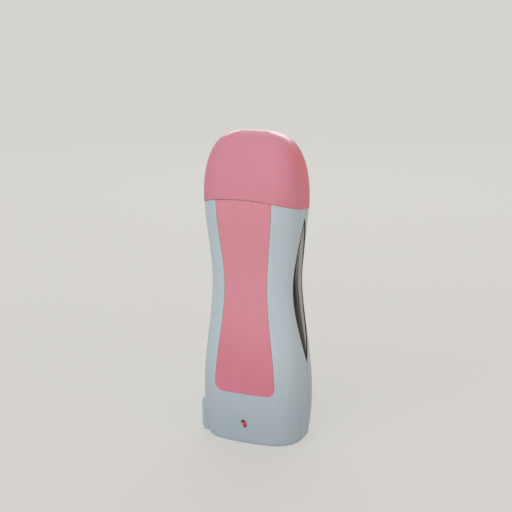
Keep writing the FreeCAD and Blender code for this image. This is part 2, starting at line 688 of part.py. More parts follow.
def make_wax():
    body = new_body("WaxFill")
    pad(body, rounded_rectangle(body, "XY_Plane", *PLUG,
                                ("0", CARTRIDGE_Y, TANK_LOW + " + tankwall")), "waxlevel")
    return body


def make_roller_frame():
    """The head on the tank: plug, tapering throat, roller trough and the two axle ears."""
    body = new_body("RollerFrame")
    pad(body, rounded_rectangle(body, "XY_Plane", "tankwide - 2 * headinset",
                                "tankdeep - 2 * headinset", "tankcorner - headinset",
                                ("0", CARTRIDGE_Y, TANK_TOP)), "headheight - headlip")
    pad(body, rounded_rectangle(body, "XY_Plane", *PLUG, ("0", CARTRIDGE_Y, TANK_TOP)),
        "plugdepth", back=True)
    round_edges(body, "headround", lambda edge: edge.BoundBox.ZMin > amount(
        TANK_TOP + " + headheight - headlip - hair"))
    ear_inside = "(%s / 2 + rollergap)" % ROLLER_LENGTH
    for at in (ear_inside, "-(%s + earthick)" % ear_inside):
        pad(body, disc(body, "YZ_Plane", "earradius", (CARTRIDGE_Y, AXLE_HEIGHT, at)), "earthick")
        foot = outline(body, "YZ_Plane", [
            ("-earradius", "-headlip - headround"), ("earradius", "-headlip - headround"),
            ("earradius", "0"), ("-earradius", "0")], (CARTRIDGE_Y, AXLE_HEIGHT, at))
        pad(body, foot, "earthick")
    trough = disc(body, "YZ_Plane", "rollerradius + rollergap", (CARTRIDGE_Y, AXLE_HEIGHT, "0"))
    pocket(body, trough, "2 * " + ear_inside, both=True)
    throat = rounded_rectangle(body, "XY_Plane", "%s - 2 * throatmargin" % ROLLER_LENGTH,
                               "throatdeep", "throatdeep / 2 - hair",
                               ("0", CARTRIDGE_Y, AXLE_HEIGHT))
    pocket(body, throat, "headheight + plugdepth")
    funnel = rounded_rectangle(body, "XY_Plane", "tankwide - 2 * (tankwall + plugwall)",
                               "tankdeep - 2 * (tankwall + plugwall)",
                               "tankcorner - tankwall - plugwall",
                               ("0", CARTRIDGE_Y, TANK_TOP + " - plugdepth"))
    pocket(body, funnel, "plugdepth + headheight - rollerradius - 3 * rollergap - plugwall",
           back=True)
    bearing = disc(body, "YZ_Plane", "rollerbore + axlefit", (CARTRIDGE_Y, AXLE_HEIGHT, "0"))
    pocket(body, bearing, "tankwide", both=True)
    return body


def make_roller():
    """The wax roller: a hollow barrel with rounded shoulders."""
    body = new_body("RollerSleeve")
    half = ROLLER_LENGTH + " / 2"
    profile = outline(body, "XY_Plane", [
        ("-" + half, "rollerbore"), (half, "rollerbore"),
        (half, "rollerradius - rollerround"), (half + " - rollerround", "rollerradius"),
        ("rollerround - " + half, "rollerradius"), ("-" + half, "rollerradius - rollerround")])
    revolve(body, profile, "H_Axis")
    return bind(body, {"Placement.Base.y": CARTRIDGE_Y, "Placement.Base.z": AXLE_HEIGHT})


keep(make_tank(), "cartridge_tank")
keep(make_wax(), "wax_fill")
keep(make_roller_frame(), "roller_frame")
keep(make_roller(), "roller_sleeve")
axle_end = ROLLER_LENGTH + " / 2 + rollergap + earthick - seatgap"
keep(rod("RollerAxle", "x", "rollerbore", "-(%s)" % axle_end, axle_end,
         (CARTRIDGE_Y, AXLE_HEIGHT)), "roller_axle")

# ------------------------------------------------------------------ bay floor and heater


def make_ring():
    """The low wall that the cartridge's foot drops into."""
    body = new_body("CradleRing")
    outer = "2 * (baygap + ringwall)"
    pad(body, rounded_rectangle(body, "XY_Plane", "tankwide + " + outer, "tankdeep + " + outer,
                                "tankcorner + baygap + ringwall", ("0", CARTRIDGE_Y, CRADLE_LOW)),
        "cradlethick + cradlering")
    pocket(body, rounded_rectangle(body, "XY_Plane", "tankwide + 2 * baygap",
                                   "tankdeep + 2 * baygap", "tankcorner + baygap",
                                   ("0", CARTRIDGE_Y, "bayfloor")), "cradlering", back=True)
    return body


floor_plate = common("FloorPlate", seat_form, box("FloorSlab", ("-" + FAR, "-" + FAR, CRADLE_LOW),
                                                  (FAR, FAR, "bayfloor")))
rib_gaps = [box("RibGap", ("%s%s - ribthick / 2 - seatgap" % (sign, RIB_SPREAD), "-" + FAR,
                           "bayfloor"),
                ("%s%s + ribthick / 2 + seatgap" % (sign, RIB_SPREAD), FAR, CHEST_HEIGHT))
            for sign in SIDES.values()]
keep(cut("Cradle", fuse("CradleStock", floor_plate, make_ring()), *rib_gaps), "cartridge_cradle")


def upright(label, wide, tall, thick, front, low, corner):
    """A flat piece standing across the bay with round corners."""
    body = new_body(label)
    pad(body, rounded_rectangle(body, "XZ_Plane", wide, tall, corner,
                                ("0", "(%s) + (%s) / 2" % (low, tall), "-(%s)" % front)),
        thick, back=True)
    return body


def make_plate():
    """The channel that wraps the back of the cartridge, its wings cut away at the foot."""
    body = new_body("HeatingPlate")
    for gap, carve in (("(baygap + platethick)", False), ("baygap", True)):
        section = rounded_rectangle(body, "XY_Plane", "tankwide + 2 * " + gap,
                                    "tankdeep + 2 * " + gap, "tankcorner + " + gap,
                                    ("0", CARTRIDGE_Y, PLATE_LOW))
        if carve:
            pocket(body, section, "plateheight", back=True)
        else:
            pad(body, section, "plateheight")
    wing, foot = TANK_BACK + " - wingdeep", TANK_BACK + " - footdeep"
    front = outline(body, "YZ_Plane", [
        ("-" + FAR, "bayfloor"), (foot, "bayfloor"), (foot, PLATE_LOW + " + footrise"),
        (wing, PLATE_LOW + " + wingrise"), (wing, ABOVE), ("-" + FAR, ABOVE)])
    pocket(body, front, "2 * " + FAR, both=True)
    return body


keep(make_plate(), "heating_plate")
keep(upright("PtcHeater", "heaterwide", "heaterheight", "heaterthick", PLATE_BACK,
             "bayfloor + heaterlift", "heatercorner"), "ptc_heater")


def make_clip():
    """The spring strap that presses the heater on the plate."""
    body = new_body("HeaterClip")
    foot, half = "clipwide / 2", "heaterwide / 2 + seatgap"
    low, high = PLATE_BACK, "%s + heaterthick" % PLATE_BACK
    strap = outline(body, "XY_Plane", [
        ("-(%s)" % foot, low), ("-(%s)" % half, low), ("-(%s)" % half, high), (half, high),
        (half, low), (foot, low), (foot, low + " + clipthick"),
        (half + " + clipthick", low + " + clipthick"),
        (half + " + clipthick", high + " + clipthick"),
        ("-(%s + clipthick)" % half, high + " + clipthick"),
        ("-(%s + clipthick)" % half, low + " + clipthick"),
        ("-(%s)" % foot, low + " + clipthick")],
        ("0", "0", "bayfloor + heaterlift + (heaterheight - clipheight) / 2"))
    pad(body, strap, "clipheight")
    return body


keep(make_clip(), "heater_clip")
keep(rod("ThermalFuse", "x", "fuseradius", "-fuselength / 2", "fuselength / 2",
         (PLATE_BACK + " + fuseradius", "bayfloor + heaterlift + heaterheight + 2 * fuseradius")),
     "thermal_fuse")

# ------------------------------------------------------------------ indicator lamp and board

lens_window = cut("LensWindow", common("LensFace", lens_prism("LensPrism", "0"),
                                       form("LensFaceForm", "-lensproud")), flange_form)
flange_stock = new_body("LensFlangePrism")
pad(flange_stock, disc(flange_stock, "XZ_Plane", "lensflange", ("0", "lampheight", "0")), FAR)
lens_flange = cut("LensFlange", common("LensFlangeStock", flange_stock, seat_form), flange_form)
keep(fuse("Lens", lens_window, lens_flange), "indicator_lens")


def make_led():
    body = new_body("Led")
    pad(body, disc(body, "XZ_Plane", "ledrim", ("0", "lampheight", "-(%s)" % BOARD_FRONT)),
        "ledrimthick")
    pad(body, disc(body, "XZ_Plane", "ledradius", ("0", "lampheight", "-(%s)" % BOARD_FRONT)),
        "ledlength")
    round_edges(body, "ledround",
                lambda edge: edge.BoundBox.YMax < amount("%s - ledlength + hair" % BOARD_FRONT))
    return body


stud_holes = [rod("StudHole", "y", "studradius + seatgap", BOARD_FRONT, "-boardback", at)
              for at in POSTS]
keep(cut("Board", upright("BoardBlank", "boardwide", "boardtall", "boardthick", BOARD_FRONT,
                          "boardlow", "boardcorner"), *stud_holes), "circuit_board")
keep(make_led(), "indicator_led")
for number, at in enumerate(POSTS, start=1):
    head = rod("StudHead", "y", "studhead", "-boardback", "studthick - boardback", at)
    shank = rod("StudShank", "y", "studradius - seatgap", BOARD_FRONT + " - studbite",
                "-boardback", at)
    keep(fuse("Stud", head, shank), "board_screw_%d" % number)

# ------------------------------------------------------------------ rocker switch

SWITCH = ("-switchback", "switchheight")
BEZEL_FACE = "-(%s + bezelproud)" % SWITCH_SEAT


def make_switch():
    """The snap-in switch: bezel, body behind the wall and the well that the rocker sits in."""
    body = new_body("SwitchBody")
    pad(body, rounded_rectangle(body, "YZ_Plane", "bezelwide", "bezeltall", "bezelround",
                                SWITCH + (BEZEL_FACE,)), "bezelproud")
    round_edges(body, "bezeledge",
                lambda edge: edge.BoundBox.XMax < amount(BEZEL_FACE + " + hair"))
    pad(body, rounded_rectangle(body, "YZ_Plane", "switchwide", "switchtall", "switchround",
                                SWITCH + ("-" + SWITCH_SEAT,)), "switchdepth")
    well = "2 * (sqrt((rockertall / 2) ^ 2 + rockerstand ^ 2) + rockergap)"
    pocket(body, rounded_rectangle(body, "YZ_Plane", "rockerwide + 2 * rockergap", well,
                                   "switchround", SWITCH + (BEZEL_FACE,)),
           "bezelproud + switchdepth - wall", back=True)
    pivot = disc(body, "XZ_Plane", "pivotradius + pivotfit",
                 ("pivotinset - " + SWITCH_SEAT, "switchheight", "switchback"))
    pocket(body, pivot, "rockerwide + 2 * (pivotreach + rockergap)", both=True)
    return body


def make_rocker():
    """The rocker, drawn level on its pivot and tipped to its ON stop."""
    body = new_body("SwitchRocker")
    half = "rockertall / 2"
    face = outline(body, "XZ_Plane", [
        ("-rockerstand", half), ("-rockerstand + %s * tan(rockertilt)" % half, "0"),
        ("-rockerstand", "-" + half), ("0", "-" + half), ("rockerroot", "-rockertall / 4"),
        ("rockerroot", "rockertall / 4"), ("0", half)])
    pad(body, face, "rockerwide", both=True)
    pivot = disc(body, "XZ_Plane", "pivotradius")
    pad(body, pivot, "rockerwide + 2 * pivotreach", both=True)
    tilt = FreeCAD.Rotation(Vector(0, 1, 0), amount("rockertilt"))
    body.Placement = FreeCAD.Placement(Vector(0, 0, 0), tilt)
    return bind(body, {"Placement.Base.x": "pivotinset - " + SWITCH_SEAT,
                       "Placement.Base.y": "-switchback",
                       "Placement.Base.z": "switchheight", "Placement.Rotation.Angle": "rockertilt"})


keep(make_switch(), "switch_body")
keep(make_rocker(), "switch_rocker")
for level, sign in (("upper", ""), ("lower", "-")):
    middle = "switchheight + %stabspacing / 2" % sign
    keep(box("SwitchTab", ("switchdepth - " + SWITCH_SEAT, "-switchback - tabwide / 2",
                           middle + " - tabthick / 2"),
             ("switchdepth + tablength - " + SWITCH_SEAT, "-switchback + tabwide / 2",
              middle + " + tabthick / 2")), "switch_tab_" + level)

# ------------------------------------------------------------------ power inlet

barrel = common("InletBarrel", stadium("InletBarrelPrism", "inletwall", "inletback",
                                       FAR), outer_form)
inlet_flange = cut("InletFlange", common(
    "InletFlangeStock", stadium("InletFlangePrism", "inletwall + inletflange",
                                "inletback", FAR), seat_form), flange_form)
inlet_recess = stadium("InletRecess", "0", "inletback + inletwall", FAR)


def make_pin(sign):
    """A contact pin: its round-tipped length in the recess, its thin tail behind the wall."""
    body = new_body("InletPin")
    at = ("%spinspacing / 2" % sign, "inletheight", "-(inletback + inletwall)")
    pad(body, disc(body, "XZ_Plane", "pinradius", at), "pinlength + pintip", back=True)
    round_edges(body, "pintip", lambda edge: edge.BoundBox.YMin > amount(
        "inletback + inletwall + pinlength + pintip - hair"))
    pad(body, disc(body, "XZ_Plane", "tailradius", at), "inletwall + taillength")
    return body


pins = [keep(make_pin(sign), "inlet_pin_" + side) for side, sign in SIDES.items()]
keep(cut("Inlet", fuse("InletStock", barrel, inlet_flange), inlet_recess, *pins), "power_inlet")

# ------------------------------------------------------------------ housing screws


def make_screw(sign):
    """A pan-head screw lying along Y, from its sunk seat into the front shell's boss."""
    body = new_body("Screw")
    at = (sign + SCREW_SPREAD, SCREW_HEIGHT)
    pad(body, disc(body, "XZ_Plane", "screwhead", at + ("-screwseat",)), "headthick", back=True)
    pad(body, disc(body, "XZ_Plane", "screwradius - seatgap", at + ("-screwseat",)),
        "screwseat + screwbite")
    for wide, tall in (("crosswide", "crosslong"), ("crosslong", "crosswide")):
        arm = outline(body, "XZ_Plane", [("-(%s) / 2" % wide, "-(%s) / 2" % tall),
                                         ("(%s) / 2" % wide, "-(%s) / 2" % tall),
                                         ("(%s) / 2" % wide, "(%s) / 2" % tall),
                                         ("-(%s) / 2" % wide, "(%s) / 2" % tall)],
                      at + ("-(screwseat + headthick)",))
        pocket(body, arm, "crossdepth", back=True)
    return body


for side, sign in SIDES.items():
    keep(make_screw(sign), "shell_screw_" + side)

# ------------------------------------------------------------------ checks and export

doc.recompute()
for item in doc.Objects:
    if {"Invalid", "Error"} & set(item.State):
        raise RuntimeError("%s failed: %s" % (item.Label, item.getStatusString()))

for item in PARTS:
    shape = item.Shape
    if shape.isNull() or not shape.isValid() or len(shape.Solids) != 1:
        raise RuntimeError("%s is not one valid solid" % item.Label)

os.makedirs("parts", exist_ok=True)
for item in PARTS:
    item.Shape.exportStep("parts/%s.step" % item.Label)
print("%d sub-parts written" % len(PARTS))
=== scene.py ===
"""Dresses the roll-on wax heater: finishes, printed marks, floor, light and camera.

Lengths are metres in the part's own frame: +Z up, the grip panel faces -Y, and the
switch is on -X.  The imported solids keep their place; this file only gives them their looks.
"""
from __future__ import annotations

import json
import logging
import math
from dataclasses import dataclass
from enum import Enum
from typing import Mapping, Sequence

import bmesh
import bpy
from mathutils import Matrix, Vector

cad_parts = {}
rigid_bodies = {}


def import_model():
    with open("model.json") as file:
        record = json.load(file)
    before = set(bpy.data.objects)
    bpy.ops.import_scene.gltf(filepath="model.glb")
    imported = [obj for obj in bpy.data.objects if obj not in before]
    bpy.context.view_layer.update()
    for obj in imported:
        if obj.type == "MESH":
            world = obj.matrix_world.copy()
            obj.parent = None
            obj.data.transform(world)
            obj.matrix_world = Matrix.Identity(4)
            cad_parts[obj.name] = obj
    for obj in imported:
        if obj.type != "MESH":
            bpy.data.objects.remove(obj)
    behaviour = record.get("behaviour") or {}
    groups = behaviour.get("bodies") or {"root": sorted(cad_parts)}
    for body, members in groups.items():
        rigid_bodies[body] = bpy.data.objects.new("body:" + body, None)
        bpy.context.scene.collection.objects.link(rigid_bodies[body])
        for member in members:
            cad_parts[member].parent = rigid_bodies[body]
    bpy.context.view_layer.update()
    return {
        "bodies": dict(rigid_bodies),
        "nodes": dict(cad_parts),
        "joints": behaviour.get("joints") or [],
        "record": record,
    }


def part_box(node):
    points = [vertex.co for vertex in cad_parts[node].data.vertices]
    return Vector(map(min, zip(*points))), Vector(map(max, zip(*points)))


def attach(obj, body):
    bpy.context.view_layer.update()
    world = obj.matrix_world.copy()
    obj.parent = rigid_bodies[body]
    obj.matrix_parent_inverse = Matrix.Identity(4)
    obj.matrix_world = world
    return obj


log = logging.getLogger("wax_heater")

MM = 0.001
Colour = tuple[float, float, float]


def paint(red: int, green: int, blue: int) -> Colour:
    """A colour in linear light.

    Args:
        red: 8-bit display value of its red.
        green: 8-bit display value of its green.
        blue: 8-bit display value of its blue.

    Returns:
        The three linear values.
    """
    shares = [value / 255 for value in (red, green, blue)]
    return tuple(s / 12.92 if s <= 0.04045 else ((s + 0.055) / 1.055) ** 2.4 for s in shares)


def scaled(colour: Colour, factor: float) -> Colour:
    """A colour made lighter or darker by a factor."""
    return tuple(factor * value for value in colour)


# ---------------------------------------------------------------- shader maths

class Sum(Enum):
    """The sums that an expression on shader values can hold."""

    ADD = "ADD"
    SUBTRACT = "SUBTRACT"
    MULTIPLY = "MULTIPLY"
    POWER = "POWER"


class Term:
    """One output of a shader graph, on which Python's own arithmetic works."""

    def __init__(self, graph: Graph, socket: bpy.types.NodeSocket) -> None:
        """Wrap an output socket of the graph."""
        self.graph = graph
        self.socket = socket

    def __add__(self, other: Operand) -> Term:
        """This plus another value."""
        return self.graph.sum(Sum.ADD, self, other)

    def __radd__(self, other: Operand) -> Term:
        """Another value plus this."""
        return self.graph.sum(Sum.ADD, other, self)

    def __sub__(self, other: Operand) -> Term:
        """This less another value."""
        return self.graph.sum(Sum.SUBTRACT, self, other)

    def __rsub__(self, other: Operand) -> Term:
        """Another value less this."""
        return self.graph.sum(Sum.SUBTRACT, other, self)

    def __mul__(self, other: Operand) -> Term:
        """This times another value."""
        return self.graph.sum(Sum.MULTIPLY, self, other)

    def __rmul__(self, other: Operand) -> Term:
        """Another value times this."""
        return self.graph.sum(Sum.MULTIPLY, other, self)

    def __pow__(self, other: Operand) -> Term:
        """This raised to a power."""
        return self.graph.sum(Sum.POWER, self, other)


Operand = Term | float | Sequence[float]


class Graph:
    """The node tree of one material or of the world."""

    def __init__(self, owner: bpy.types.Material | bpy.types.World) -> None:
        """Start an empty tree.

        Args:
            owner: the material or world that the tree belongs to.
        """
        owner.use_nodes = True
        self.owner = owner
        self.tree = owner.node_tree
        self.tree.nodes.clear()
        self._place: Term | None = None

    @classmethod
    def named(cls, name: str) -> Graph:
        """The empty tree of a new material of that name."""
        return cls(bpy.data.materials.new(name))

    def node(self, kind: str, settings: Mapping[str, object] | None = None,
             sockets: Mapping[str | int, Operand] | None = None,
             output: str | int | None = 0) -> Term | None:
        """Add one node.

        Args:
            kind: Blender's name of the node's type.
            settings: properties set before anything is joined.
            sockets: a number, a tuple or a Term for each named input.
            output: which output is wanted, or None for a node that ends the tree.

        Returns:
            That output, if any.
        """
        made = self.tree.nodes.new(kind)
        for name, value in (settings or {}).items():
            setattr(made, name, value)
        for name, value in (sockets or {}).items():
            self.join(value, made.inputs[name])
        return None if output is None else Term(self, made.outputs[output])

    def join(self, value: Operand, target: bpy.types.NodeSocket) -> None:
        """Link a Term to an input, or set the input to a number, vector or colour.

        Args:
            value: what the input gets.
            target: the input.
        """
        if isinstance(value, Term):
            self.tree.links.new(value.socket, target)
        elif target.type == "RGBA" and not isinstance(value, (int, float)):
            target.default_value = (*value, 1.0)
        else:
            target.default_value = value

    def sum(self, operation: Sum, first: Operand, second: Operand) -> Term:
        """Join two values: Math for numbers, Vector Math for vectors, Mix for colours.

        Args:
            operation: the sum.
            first: its left side.
            second: its right side.

        Returns:
            The result.
        """
        kinds = {side.socket.type for side in (first, second) if isinstance(side, Term)}
        if "VALUE" in kinds and any(isinstance(side, tuple) for side in (first, second)):
            kinds.add("RGBA")
        if "RGBA" in kinds:
            return self.node("ShaderNodeMix",
                             {"data_type": "RGBA", "blend_type": operation.value},
                             {0: 1.0, 6: self._spread(first), 7: self._spread(second)}, 2)
        if "VECTOR" in kinds:
            return self.node("ShaderNodeVectorMath", {"operation": operation.value},
                             {0: self._spread(first), 1: self._spread(second)})
        return self.node("ShaderNodeMath", {"operation": operation.value},
                         {0: first, 1: second})

    @staticmethod
    def _spread(value: Operand) -> Operand:
        """A plain number as three equal ones; anything else as it is."""
        return (value,) * 3 if isinstance(value, (int, float)) else value

    def blend(self, factor: Operand, first: Operand, second: Operand) -> Term:
        """A colour between two, by a factor from 0 to 1."""
        return self.node("ShaderNodeMix", {"data_type": "RGBA"},
                         {0: factor, 6: first, 7: second}, 2)

    @property
    def place(self) -> Term:
        """The point's place in the part's frame, in metres."""
        if self._place is None:
            self._place = self.node("ShaderNodeTexCoord", output="Object")
        return self._place

    def axis(self, letter: str) -> Term:
        """One coordinate of the point's place.

        Args:
            letter: X, Y or Z.

        Returns:
            Its value in metres.
        """
        return self.node("ShaderNodeSeparateXYZ", None, {"Vector": self.place}, letter)

    def size_of(self, value: Term) -> Term:
        """A value without its sign."""
        return self.node("ShaderNodeMath", {"operation": "ABSOLUTE"}, {0: value})

    def noise(self, size: float, detail: float = 2.0, stretch: Sequence[float] = (1, 1, 1),
              seed: float = 0.0) -> Term:
        """Smooth noise around 0.5.

        Args:
            size: the width of one blotch in metres.
            detail: how many finer layers it has.
            stretch: a factor on the pattern's frequency along each axis.
            seed: shifts the pattern, so that two noises differ.

        Returns:
            Its value.
        """
        where = self.place * tuple(stretch) + (seed, seed, seed)
        return self.node("ShaderNodeTexNoise", None,
                         {"Vector": where, "Scale": 1 / size, "Detail": detail}, "Fac")

    def bump(self, height: Term, depth: float, under: Term | None = None) -> Term:
        """A surface normal from a height.

        Args:
            height: relief from 0 to 1.
            depth: what 1 stands for, in metres.
            under: another bump that this one lies on.

        Returns:
            The normal.
        """
        sockets: dict[str | int, Operand] = {"Height": height, "Distance": depth}
        if under is not None:
            sockets["Normal"] = under
        return self.node("ShaderNodeBump", None, sockets)

    @property
    def seen(self) -> Term:
        """1 where the camera looks, directly or by way of a mirror or glass, and else 0."""
        total = self.node("ShaderNodeLightPath", output="Is Camera Ray")
        for kind in ("Is Glossy Ray", "Is Transmission Ray"):
            total = total + self.node("ShaderNodeLightPath", output=kind)
        return total

    def end(self, shader: Term) -> bpy.types.Material | bpy.types.World:
        """Join a shader to the tree's output.

        Args:
            shader: the shader.

        Returns:
            The material or world.
        """
        world = isinstance(self.owner, bpy.types.World)
        kind = "ShaderNodeOutputWorld" if world else "ShaderNodeOutputMaterial"
        self.node(kind, None, {"Surface": shader}, None)
        return self.owner

    def finish(self, sockets: Mapping[str | int, Operand]) -> bpy.types.Material:
        """End the tree in a Principled shader.

        Args:
            sockets: the shader's inputs.

        Returns:
            The material.
        """
        return self.end(self.node("ShaderNodeBsdfPrincipled", None, sockets))


@dataclass(frozen=True)
class Fade:
    """A smooth step between two values of a measure."""

    start: float
    end: float

    def of(self, value: Term, first: float = 0.0, last: float = 1.0) -> Term:
        """The step at each point.

        Args:
            value: the measure that it goes by.
            first: what it gives up to its start.
            last: what it gives from its end on.

        Returns:
            Its level.
        """
        return value.graph.node(
            "ShaderNodeMapRange", {"interpolation_type": "SMOOTHSTEP"},
            {"Value": value, "From Min": self.start, "From Max": self.end,
             "To Min": first, "To Max": last}, "Result")


# ---------------------------------------------------------------- finishes

@dataclass(frozen=True)
class Finish:
    """A named surface finish; each kind below says how it is made."""

    name: str
    colour: Colour

    def make(self) -> bpy.types.Material:
        """Build the finish's material."""
        raise NotImplementedError

    @property
    def material(self) -> bpy.types.Material:
        """The finish's material, built on its first use."""
        return bpy.data.materials.get(self.name) or self.make()


@dataclass(frozen=True)
class PaintedLowShade:
    """Painted shade: a darker tone low on a piece, which gives way to the piece's own with
    height.
    """

    colour: Colour
    rise: Fade


@dataclass(frozen=True)
class PaintedFlankShade:
    """Painted shade: a redder tone on both flanks, where they turn from the light, in a soft
    upright band around a line behind the middle.
    """

    colour: Colour
    out: Fade = Fade(19 * MM, 29 * MM)
    back: float = 2 * MM
    off: Fade = Fade(2 * MM, 17 * MM)


@dataclass(frozen=True)
class Crown:
    """A coat on the highest part of a piece."""

    coat: float
    rise: Fade


@dataclass(frozen=True)
class Moulded(Finish):
    """Opaque moulded plastic with a fine eroded grain and a faint cloudiness.

    `cloud` and `flow` are how far its patches and its mould streaks change the colour.
    """

    roughness: float = 0.42
    gloss_patch: float = 6 * MM
    gloss_drift: float = 0.12
    grain: float = 0.35 * MM
    grain_depth: float = 0.012 * MM
    wave: float = 30 * MM
    wave_depth: float = 0.12 * MM
    cloud: float = 0.05
    cloud_size: float = 22 * MM
    flow: float = 0.03
    flow_size: float = 9 * MM
    flow_stretch: tuple[float, float, float] = (3.0, 3.0, 0.35)
    shine: float = 0.5
    coat: float = 0.0
    coat_roughness: float = 0.12
    sheen: float = 0.0
    glow: float = 0.0
    glow_reach: float = 1.2 * MM
    # Painted shade, low down and on the flanks.
    painted_low_shade: PaintedLowShade | None = None
    painted_flank: PaintedFlankShade | None = None
    crown: Crown | None = None

    def _pigment(self, graph: Graph) -> Operand:
        """The colour before its clouds and streaks, with painted shade low down and on the
        flanks.
        """
        pigment: Operand = self.colour
        # Painted shade: darker towards the bottom, where less light falls.
        if self.painted_low_shade is not None:
            rise = self.painted_low_shade.rise.of(graph.axis("Z"))
            pigment = graph.blend(rise, self.painted_low_shade.colour, pigment)
        # Painted shade: the flanks take a redder tone, as where they turn from the light.
        if self.painted_flank is not None:
            off = graph.size_of(graph.axis("Y") - self.painted_flank.back)
            side = self.painted_flank.out.of(graph.size_of(graph.axis("X")))
            side = side * (1 - self.painted_flank.off.of(off))
            pigment = graph.blend(side, pigment, self.painted_flank.colour)
        return pigment

    def make(self) -> bpy.types.Material:
        """Build it: cloudy colour, uneven gloss, eroded grain and long mould waves."""
        graph = Graph.named(self.name)
        cloud = graph.noise(self.cloud_size, detail=3.0)
        streak = graph.noise(self.flow_size, stretch=self.flow_stretch, seed=4.0)
        shade = 1.0 + (cloud - 0.5) * (2 * self.cloud) + (streak - 0.5) * (2 * self.flow)
        gloss = graph.noise(self.gloss_patch, detail=4.0, seed=2.0) - 0.5
        wave = graph.bump(graph.noise(self.wave, detail=1.0, seed=7.0), self.wave_depth)
        grain = graph.bump(graph.noise(self.grain, seed=1.0), self.grain_depth, wave)
        coat: Operand = self.coat
        if self.crown is not None:
            coat = self.crown.rise.of(graph.axis("Z"), self.coat, self.crown.coat)
        return graph.finish({
            "Base Color": shade * self._pigment(graph), "Normal": grain, "IOR": 1.5,
            "Roughness": self.roughness + gloss * self.gloss_drift,
            "Specular IOR Level": self.shine,
            "Coat Weight": coat, "Coat Roughness": self.coat_roughness,
            "Sheen Weight": self.sheen, "Sheen Roughness": 0.4,
            "Subsurface Weight": self.glow, "Subsurface Scale": self.glow_reach,
        })


@dataclass(frozen=True)
class SmokedPane(Finish):
    """Smoked clear plastic: dense before a slanting line, with a coat and a painted reflection
    behind.

    The pane, lip included, is an almond of two arcs around `middle`.  Its pale tone, painted
    on its coated parts behind the line, is a painted reflection.  `dense` and `clear` are its
    opacity in front of the line and behind it, and `thicker` is added where the surface turns
    away, which
    `turned` measures.
    """

    low_colour: Colour
    # Painted reflection: the pale tone painted on the pane behind the line and on its thin
    # highlight.
    painted_reflection: Colour
    middle: Vector
    half_wide: float
    half_tall: float
    low_fade: float = 16 * MM
    rim: float = 2.9 * MM
    rim_soft: float = 0.7 * MM
    rim_back: float = 1.4 * MM
    dense: float = 0.42
    clear: float = 0.12
    thicker: float = 0.38
    turned: Fade = Fade(0.2, 0.6)
    line_ahead: float = 0.35 * MM
    line_slant: float = 0.06
    line_soft: float = 0.7 * MM
    line_drift: float = 2 * MM
    glint_wide: float = 0.9 * MM
    glint_soft: float = 0.35 * MM
    glint_rise: Fade = Fade(5 * MM, 15 * MM)
    glint_fall: Fade = Fade(28 * MM, 36 * MM)
    glint_end: float = 1 * MM
    glint_level: float = 0.7
    roughness: float = 0.06
    scuff: float = 0.05
    wave_depth: float = 0.10 * MM
    coat_dark: float = 0.02
    coat_bright: float = 0.25
    coat_turned: float = 0.67

    def _inward(self, graph: Graph) -> Term:
        """The distance from the pane's outer edge, in metres."""
        bow = (self.half_tall ** 2 + self.half_wide ** 2) / (2 * self.half_wide)
        across = graph.size_of(graph.axis("Y") - (self.middle.y + self.rim_back))
        up = graph.axis("Z") - self.middle.z
        return bow - ((across + (bow - self.half_wide)) ** 2 + up ** 2) ** 0.5

    def _rear(self, graph: Graph) -> Term:
        """1 behind the slanting line, whose edge drifts a little, and 0 in front of it."""
        drift = graph.noise(9 * MM, detail=3.0, stretch=(1.0, 1.0, 0.3)) - 0.5
        line = graph.axis("Y") - (self.middle.y - self.line_ahead)
        line = line + (graph.axis("Z") - self.middle.z) * self.line_slant
        return Fade(-self.line_soft, self.line_soft).of(line + drift * self.line_drift)

    def _painted_glint(self, graph: Graph, inward: Term) -> Term:
        """A painted highlight: a thin pale line inside the rim's front edge, along the pane's
        upper half.

        Args:
            graph: the pane's tree.
            inward: the distance from its outer edge.

        Returns:
            The line's level.
        """
        start = self.rim + self.rim_soft
        end = start + self.glint_wide
        up = graph.axis("Z") - self.middle.z
        line = Fade(start, start + self.glint_soft).of(inward)
        line = line * (1 - Fade(end - self.glint_soft, end).of(inward))
        line = line * self.glint_rise.of(up) * (1 - self.glint_fall.of(up))
        back = Fade(self.middle.y - self.glint_end, self.middle.y).of(graph.axis("Y"))
        return line * (1 - back) * self.glint_level

    def make(self) -> bpy.types.Material:
        """Build it: a tint over what lies behind, a mirroring coat, a painted reflection and a
        dark rim.
        """
        graph = Graph.named(self.name)
        inward = self._inward(graph)
        body = Fade(self.rim, self.rim + self.rim_soft).of(inward)
        rear = self._rear(graph) * body
        # Painted reflection: where this mask is 1 the pane turns pale and clearer (the streak
        # behind the line and the painted highlight inside its rim); its real coat follows the
        # mask too.
        painted_streak = rear + self._painted_glint(graph, inward) * (1 - rear)
        slope = graph.node("ShaderNodeLayerWeight", None, {"Blend": 0.5}, "Facing")
        deep = self.turned.of(slope)
        tint = self.dense + deep * self.thicker - painted_streak * (self.dense - self.clear)
        rise = Fade(self.middle.z - self.low_fade, self.middle.z).of(graph.axis("Z"))
        smoke = graph.blend(rise * body, self.low_colour, self.colour)
        smoke = graph.blend(body, self.colour, smoke)
        scuff = graph.noise(0.5 * MM, detail=3.0, stretch=(1.0, 6.0, 0.4), seed=5.0) - 0.5
        wave = graph.noise(14 * MM, detail=1.0, stretch=(1.0, 1.0, 0.5), seed=3.0)
        coat = painted_streak * (self.coat_bright + deep * self.coat_turned)
        return graph.finish({
            "Base Color": graph.blend(painted_streak, smoke, self.painted_reflection),
            "Alpha": 1 - body * (1 - tint), "Normal": graph.bump(wave, self.wave_depth),
            "Roughness": self.roughness + scuff * self.scuff,
            "Specular IOR Level": 0.1, "IOR": 1.5,
            "Coat Weight": self.coat_dark + coat, "Coat IOR": 2.6, "Coat Roughness": 0.05,
        })


